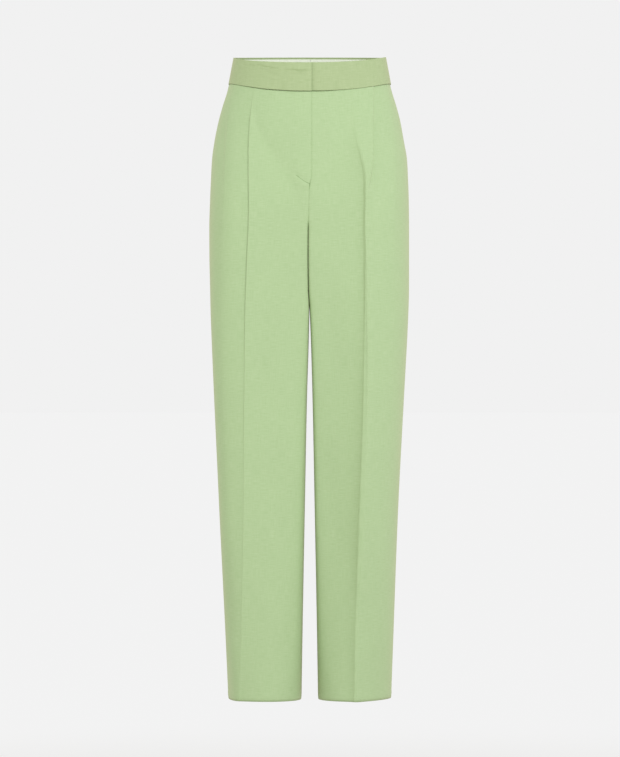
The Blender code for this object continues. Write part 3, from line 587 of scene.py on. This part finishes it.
# plain-woven worsted wool: matt, with slubs along the weft and fainter ones along the warp; single threads
# are 0.4 mm apart, too fine to show, so the slubs carry the weave
def woolMaterial(name, tones):
    made, tree = newMaterial(name)
    uv = addNode(tree, "ShaderNodeUVMap", uv_map="cloth")
    heights = []
    for length, width, turned in ((*woolLook["weft"], False), (*woolLook["warp"], True)):
        scale = (1 / width, 1 / length, 1.0) if turned else (1 / length, 1 / width, 1.0)
        stretch = addNode(tree, "ShaderNodeMapping", {"Vector": uv.outputs["UV"], "Scale": scale})
        slub = addNode(tree, "ShaderNodeTexNoise", {"Vector": stretch.outputs["Vector"], "Scale": 1.0,
                                                    "Detail": 2.0, "Roughness": 0.55}, noise_dimensions="2D")
        heights.append(slub.outputs["Fac"])
    both = addNode(tree, "ShaderNodeMix", {0: woolLook["warpShare"], 2: heights[0], 3: heights[1]})
    cloud = addNode(tree, "ShaderNodeTexNoise", {"Vector": uv.outputs["UV"], "Scale": 14.0, "Detail": 2.0},
                    noise_dimensions="2D")
    ramp = addNode(tree, "ShaderNodeValToRGB", {"Fac": both.outputs[0]})
    ramp.color_ramp.elements[0].position = 0.3
    ramp.color_ramp.elements[0].color = hexColour(tones[0])
    ramp.color_ramp.elements[1].position = 0.7
    ramp.color_ramp.elements[1].color = hexColour(tones[2])
    middle = ramp.color_ramp.elements.new(0.5)
    middle.color = hexColour(tones[1])
    tint = addNode(tree, "ShaderNodeMapRange", {"Value": cloud.outputs["Fac"], "To Min": 0.98, "To Max": 1.02})
    toned = addNode(tree, "ShaderNodeVectorMath", {0: ramp.outputs["Color"], "Scale": tint.outputs["Result"]},
                    operation="SCALE")
    bump = addNode(tree, "ShaderNodeBump", {"Height": both.outputs[0], "Strength": 0.5,
                                            "Distance": woolLook["threadBump"]})
    shader = addNode(tree, "ShaderNodeBsdfPrincipled", {
        "Base Color": toned.outputs["Vector"], "Roughness": woolLook["roughness"], "IOR": 1.45,
        "Specular IOR Level": 0.2, "Sheen Weight": woolLook["sheen"], "Sheen Roughness": 0.4,
        "Sheen Tint": hexColour(woolLook["nap"]),
        "Normal": bump.outputs["Normal"]})
    addNode(tree, "ShaderNodeOutputMaterial", {"Surface": shader.outputs["BSDF"]})
    return made


# smooth cloth, tape or thread of one colour, with a grain too fine to see but for a soft unevenness
def plainCloth(name, colour, roughness):
    made, tree = newMaterial(name)
    uv = addNode(tree, "ShaderNodeUVMap", uv_map="cloth")
    grain = addNode(tree, "ShaderNodeTexNoise", {"Vector": uv.outputs["UV"], "Scale": 900.0, "Detail": 1.0},
                    noise_dimensions="2D")
    bump = addNode(tree, "ShaderNodeBump", {"Height": grain.outputs["Fac"], "Strength": 0.3, "Distance": 0.0001})
    shader = addNode(tree, "ShaderNodeBsdfPrincipled", {
        "Base Color": hexColour(colour), "Roughness": roughness, "Sheen Weight": 0.1,
        "Normal": bump.outputs["Normal"]})
    addNode(tree, "ShaderNodeOutputMaterial", {"Surface": shader.outputs["BSDF"]})
    return made


wool = woolMaterial("wool plain weave", woolLook["legs"])
bandWoolShaded = woolMaterial("wool plain weave, darkened for painted shade", woolLook["band"])  # the same wool, a shade darker: painted shade on the waistband
facingCloth = plainCloth("ivory band facing", "#faffec", 0.6)  # the pale crescent inside the waist
tape = plainCloth("woven zip tape", "#a3b98a", 0.7)
thread = plainCloth("sewing thread", "#a9c090", 0.75)  # in the cloth's green, hardly seen
tackThreadShaded = plainCloth("sewing thread of the tack, darkened for painted shade", "#86a06c", 0.75)  # close stitches, in a thread darker than the cloth's: a short dark line that is partly the tack and partly painted shade of the crease along it

pieces = {}
surfaces = {}
for leg in ("right", "left"):
    for face in ("front", "back"):
        points, arcs, drops = panelSurface(leg, face)
        piece = gridMesh(f"{face}_{leg}_cloth", points, arcs, drops, wool)
        columns = points.shape[1]
        firstHem = int(np.searchsorted(drops, cloth["hem"] - cloth["hemTurn"]))
        hemRows = list(range(firstHem * columns, points.shape[0] * columns))
        giveWall(piece, cloth["hemWall"], hemRows, cloth["wall"] / cloth["hemWall"])
        pieces[f"{face}_{leg}"] = bake(piece)
        surfaces[f"{face}_{leg}"] = (points[:, len(cloth["allowance"]) : -len(cloth["allowance"])], drops)
print("panels:", {name: len(p.data.polygons) for name, p in pieces.items()})


def bandSurface(leg, end, inset=0.0, top=None, rows=60):
    top = waistband["top"] if top is None else top
    grid, arcs = [], []
    drops = np.linspace(top, waistband["bottom"], rows)
    for drop in drops:
        share = (drop - waistband["top"]) / (waistband["bottom"] - waistband["top"])
        halfWidth = np.interp(share, (0, 1), waistband["halfWidth"]) - inset
        halfDepth = np.interp(share, (0, 1), waistband["halfDepth"]) - inset
        angles = np.linspace(0.0, math.pi * 1.16, 700)
        power = 2 / waistband["round"]
        across = halfWidth * np.sign(np.sin(angles)) * np.abs(np.sin(angles)) ** power
        along = halfDepth * np.sign(np.cos(angles)) * np.abs(np.cos(angles)) ** power
        length = np.concatenate([[0.0], np.cumsum(np.hypot(np.diff(across), np.diff(along)))])
        front = along < 0
        finish = np.interp(end, -across[front], length[front])
        stops = np.concatenate([np.linspace(0.0, finish - 6, 160), finish - 6 + np.linspace(0, 6, 16)[1:]])
        grid.append(np.column_stack([np.interp(stops, length, across), np.interp(stops, length, along),
                                     np.full(len(stops), -drop)]))
        arcs.append(stops)
    points, arcs = np.array(grid), np.tile(arcs[rows // 2], (rows, 1))
    outward = outwardNormals(points)
    near, far = waistband["lapFade"][leg]
    share = (1 - fade(points[:, :, 0], near, far)) * (points[:, :, 1] < 0)
    lift = -sideSign[leg] * waistband["lapStep"] * share
    for side, *fold in bandCreases:
        if side == leg and inset == 0:
            lift += foldHeight(points[:, :, 0], -points[:, :, 2], *fold) * (points[:, :, 1] < 0)
    points += outward * lift[:, :, None]
    share = (drops[:, None] - waistband["top"]) / (waistband["bottom"] - waistband["top"])
    front = points[:, :, 1] < 0
    topPower = np.where(front, waistband["topPower"][leg], waistband["topPower"]["back"])
    lift = np.where(front, -waistband["dip"], waistband["rise"])
    points[:, :, 2] += lift * np.abs(points[:, :, 1] / waistband["depth"]) ** (topPower + share * (2 - topPower))
    if leg == "left":
        points[:, :, 2] -= waistband["hidden"] * (1 - share) * (1 - fade(points[:, :, 0], -2, 2)) * front
    points[:, :, 0] *= sideSign[leg]
    return points, arcs, drops


for leg in ("right", "left"):
    end = waistband["lap"] if leg == "right" else waistband["underLap"]
    points, arcs, drops = bandSurface(leg, end)
    piece = gridMesh(f"waistband_{leg}_cloth", points, arcs, drops, bandWoolShaded)
    giveWall(piece, waistband["wall"])
    edge = piece.modifiers.new("rolled edge", "BEVEL")
    edge.width = 0.0005
    edge.segments = 3
    edge.limit_method = "ANGLE"
    pieces[f"waistband_{leg}"] = bake(piece)
    inset = waistband["wall"] + facing["gap"]
    points, arcs, drops = bandSurface(leg, facing["end"][leg], inset, waistband["top"] + facing["edge"])
    piece = gridMesh(f"waistband_facing_{leg}_cloth", points, arcs, drops, facingCloth)
    giveWall(piece, facing["wall"])
    pieces[f"waistband_facing_{leg}"] = bake(piece)
print("waistband and facing made")


def frontPoints(across, drop):
    along = np.empty_like(across)
    for leg in ("right", "left"):
        curve = section(leg, "front", drop)
        own = across * sideSign[leg] >= 0
        along[own] = np.interp(-np.abs(across[own]), -curve[:, 0], curve[:, 1])
    return np.column_stack([across, along, -drop + waistTilt(along, drop)])


def flyStrip(name, edges, drops, inset, wall, finish):
    grid, arcs = [], []
    for drop in drops:
        right, left = edges(drop)
        row = frontPoints(np.linspace(right, left, 16), drop)
        row[:, 1] += inset + fly["sink"] * (1 - fade(drop, *fly["sinkEnd"]))
        grid.append(row)
        arcs.append(row[:, 0] - row[0, 0])
    piece = gridMesh(name, np.array(grid), np.array(arcs), drops, finish)
    giveWall(piece, wall)
    return bake(piece)


def shieldEdges(drop):
    turn = np.clip((drop - fly["shieldCurve"]) / (fly["shieldEnd"] + 2 - fly["shieldCurve"]), 0.0, 0.98)
    return -fly["shieldRight"] * math.sqrt(1 - turn**2), fly["shieldLeft"]


straight = np.linspace(fly["top"], fly["shieldCurve"], 24)
curved = np.linspace(fly["shieldCurve"], fly["shieldEnd"], 20)
pieces["fly_shield"] = flyStrip("fly_shield_cloth", shieldEdges, np.append(straight, curved[1:]),
                                fly["shieldInset"], fly["shieldWall"], wool)
zipDrops = np.linspace(fly["top"], fly["zipEnd"], 40)
pieces["fly_zip"] = flyStrip("fly_zip_tape", lambda drop: (-fly["zip"][0], -fly["zip"][1]), zipDrops,
                             fly["zipInset"], fly["zipWall"], tape)
print("fly shield and zip tape made")

# sewing: the curved line that holds the fly, and blind stitches that only just catch the fronts and backs
sewing = {
    "fly": [(26, -30), (90, -30), (150, -30), (170, -27.5), (184, -22), (191, -15), (196, -8), (199, -2.5)],
    "tack": [(186.5, -21.5), (191, -16), (195.5, -10), (198.6, -5), (200.2, -1), (200.8, 1.5)],
    "flyStitch": (0.0026, 0.0021, 0.00015, 0.06),  # metres: pitch, length and half thickness; unevenness
    "tackStitch": (0.0011, 0.0012, 0.00042, 0.1),
    "blindStitch": (0.0085, 0.0012, 0.00016, 0.25),
    "sunk": 0.1,
    "seed": 4,
}


def onPanel(name, across, drop):  # a point on a finished panel, by its world X and its drop
    points, drops = surfaces[name]
    i = int(np.clip(np.searchsorted(drops, drop) - 1, 0, len(drops) - 2))
    t = (drop - drops[i]) / (drops[i + 1] - drops[i])
    ends = []
    for row in (points[i], points[i + 1]):
        order = np.argsort(row[:, 0])
        ends.append([np.interp(across, row[order, 0], row[order, k]) for k in range(3)])
    return (1 - t) * np.array(ends[0]) + t * np.array(ends[1])


def stitchTree():  # stitches laid end to end along a path of edges, a little uneven
    tree = bpy.data.node_groups.new("stitch line", "GeometryNodeTree")
    for name, kind in (("Geometry", "Geometry"), ("Pitch", "Float"), ("Length", "Float"), ("Half Thickness", "Float"),
                       ("Unevenness", "Float"), ("Seed", "Int"), ("Thread", "Material")):
        tree.interface.new_socket(name, in_out="INPUT", socket_type="NodeSocket" + kind)
    tree.interface.new_socket("Geometry", in_out="OUTPUT", socket_type="NodeSocketGeometry")
    given = addNode(tree, "NodeGroupInput").outputs
    path = addNode(tree, "GeometryNodeMeshToCurve", {"Mesh": given["Geometry"]})
    spots = addNode(tree, "GeometryNodeCurveToPoints", {"Curve": path.outputs["Curve"], "Length": given["Pitch"]},
                    mode="LENGTH")
    stitch = addNode(tree, "GeometryNodeMeshCylinder", {"Vertices": 6, "Radius": given["Half Thickness"],
                                                        "Depth": given["Length"]}, fill_type="NGON")
    least = addNode(tree, "ShaderNodeMath", {0: 1.0, 1: given["Unevenness"]}, operation="SUBTRACT")
    most = addNode(tree, "ShaderNodeMath", {0: 1.0, 1: given["Unevenness"]}, operation="ADD")
    stretch = addNode(tree, "FunctionNodeRandomValue", data_type="FLOAT")
    tree.links.new(least.outputs[0], stretch.inputs[2])
    tree.links.new(most.outputs[0], stretch.inputs[3])
    tree.links.new(given["Seed"], stretch.inputs["Seed"])
    size = addNode(tree, "ShaderNodeCombineXYZ", {"X": 1.0, "Y": 1.0, "Z": stretch.outputs[1]})
    laid = addNode(tree, "GeometryNodeInstanceOnPoints", {
        "Points": spots.outputs["Points"], "Instance": stitch.outputs["Mesh"],
        "Rotation": spots.outputs["Rotation"], "Scale": size.outputs["Vector"]})
    real = addNode(tree, "GeometryNodeRealizeInstances", {"Geometry": laid.outputs["Instances"]})
    coloured = addNode(tree, "GeometryNodeSetMaterial", {"Geometry": real.outputs["Geometry"],
                                                         "Material": given["Thread"]})
    addNode(tree, "NodeGroupOutput", {"Geometry": coloured.outputs["Geometry"]})
    return tree


def stitchLine(name, paths, tree, finish, pitch, length, halfThickness, unevenness):
    points = [p for path in paths for p in path]
    edges, start = [], 0
    for path in paths:
        edges.extend((start + k, start + k + 1) for k in range(len(path) - 1))
        start += len(path)
    data = bpy.data.meshes.new(name)
    data.from_pydata([tuple(p) for p in points], edges, [])
    piece = bpy.data.objects.new(name, data)
    bpy.context.scene.collection.objects.link(piece)
    modifier = piece.modifiers.new("stitches", "NODES")
    modifier.node_group = tree
    values = {"Pitch": pitch, "Length": length, "Half Thickness": halfThickness, "Unevenness": unevenness,
              "Seed": sewing["seed"], "Thread": finish}
    for socket in tree.interface.items_tree:
        if socket.name in values:
            modifier[socket.identifier] = values[socket.name]
    return bake(piece)


stitches = stitchTree()


def frontPath(table, count):  # a smooth path on the right front through drops and places across
    places = np.array(table, float)
    order = np.arange(len(places))
    path = []
    for t in np.linspace(0, len(places) - 1, count):
        drop, across = (float(through(order, places[:, k], t)) for k in (0, 1))
        path.append((onPanel("front_right", across, drop) + np.array([0.0, sewing["sunk"], 0.0])) * mm)
    return path


hemPaths = []
for name, (points, drops) in surfaces.items():
    row = int(np.searchsorted(drops, cloth["hem"] - cloth["hemTurn"]))
    hemPaths.append(points[row, 2:-2] * mm)
flyPaths, tackPaths = [frontPath(sewing["fly"], 160)], [frontPath(sewing["tack"], 60)]
sewn = {
    "fly_stitches": stitchLine("fly_stitches", flyPaths, stitches, thread, *sewing["flyStitch"]),
    "fly_tack": stitchLine("fly_tack", tackPaths, stitches, tackThreadShaded, *sewing["tackStitch"]),
    "hem_stitches": stitchLine("hem_stitches", hemPaths, stitches, thread, *sewing["blindStitch"]),
}
for name, piece in sewn.items():
    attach(piece, "root")
print("sewing:", {name: len(p.data.polygons) for name, p in sewn.items()})

# each piece hangs from the root body, and the part of the same name from model.glb is hidden
for node, piece in pieces.items():
    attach(piece, "root")
    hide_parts(node)

# studio: a pale floor below, a bright even surround and soft lights, the key from the front right
studio = {
    "distance": 4.0,
    "viewHeight": 1.2869,
    "middle": (0.0004, -0.522),
    "surround": "#f1f1f1",
    # the floor's painted shadow: its darker colour, its middle, and the radii over which it fades into the surround's
    # white
    "paintedShadowColour": "#c4c0b4",
    "paintedShadowMiddle": (0.0, -0.9, 0.0),
    "paintedShadowRadii": (0.5, 3.3),
}


def softLight(name, place, target, size, power, colour=(1, 1, 1)):
    data = bpy.data.lights.new(name, "AREA")
    data.size = size
    data.energy = power
    data.color = colour
    lamp = bpy.data.objects.new(name, data)
    bpy.context.scene.collection.objects.link(lamp)
    lamp.location = place
    lamp.rotation_euler = (Vector(target) - Vector(place)).to_track_quat("-Z", "Y").to_euler()


softLight("key", (1.7, -2.4, -0.15), (0, 0, -0.4), 1.3, 29, (0.98, 0.98, 1.1))
softLight("top", (0.3, -2.2, 1.6), (0, 0, 0), 1.0, 6.5)
softLight("fill", (-2.5, -1.7, -0.25), (0, 0, -0.5), 1.8, 13)
# an even white surround
world = bpy.data.worlds.new("studio surround")
world.use_nodes = True
tree = world.node_tree
tree.nodes.clear()
surround = addNode(tree, "ShaderNodeBackground", {"Color": hexColour(studio["surround"]), "Strength": 1.0})
addNode(tree, "ShaderNodeOutputWorld", {"Surface": surround.outputs["Background"]})
bpy.context.scene.world = world

# a glowing pale floor, as white as the surround so that no horizon shows, with a painted shadow that makes it darker
# near the trousers
floorMaterial, tree = newMaterial("glowing studio floor with painted shadow")
place = addNode(tree, "ShaderNodeTexCoord")
near = addNode(tree, "ShaderNodeVectorMath", {0: place.outputs["Object"], 1: studio["paintedShadowMiddle"]},
               operation="DISTANCE")
beyond = addNode(tree, "ShaderNodeMapRange", {"Value": near.outputs["Value"], "From Min": studio["paintedShadowRadii"][0],
                                              "From Max": studio["paintedShadowRadii"][1]}, interpolation_type="SMOOTHSTEP")
glowWithPaintedShadow = addNode(tree, "ShaderNodeMix", {0: beyond.outputs["Result"], 6: hexColour(studio["paintedShadowColour"]),
                                       7: hexColour(studio["surround"])}, data_type="RGBA")
shader = addNode(tree, "ShaderNodeBsdfPrincipled", {
    "Base Color": hexColour("#404040"), "Roughness": 1.0, "Specular IOR Level": 0.0,
    "Emission Color": glowWithPaintedShadow.outputs[2], "Emission Strength": 0.96})
addNode(tree, "ShaderNodeOutputMaterial", {"Surface": shader.outputs["BSDF"]})
bpy.ops.mesh.primitive_circle_add(vertices=96, radius=60.0, fill_type="NGON", location=(0, 0, -1.45))
floor = bpy.context.object
floor.name = "studio_floor"
floor.data.materials.append(floorMaterial)

lens = bpy.data.cameras.new("camera")
lens.sensor_fit = "VERTICAL"
lens.sensor_height = 36.0
lens.lens = 36.0 * studio["distance"] / studio["viewHeight"]
camera = bpy.data.objects.new("camera", lens)
camera.location = (studio["middle"][0], -studio["distance"], studio["middle"][1])
camera.rotation_euler = (math.radians(90), 0, 0)
bpy.context.scene.collection.objects.link(camera)
bpy.context.scene.camera = camera
bpy.context.scene.view_settings.view_transform = "Standard"
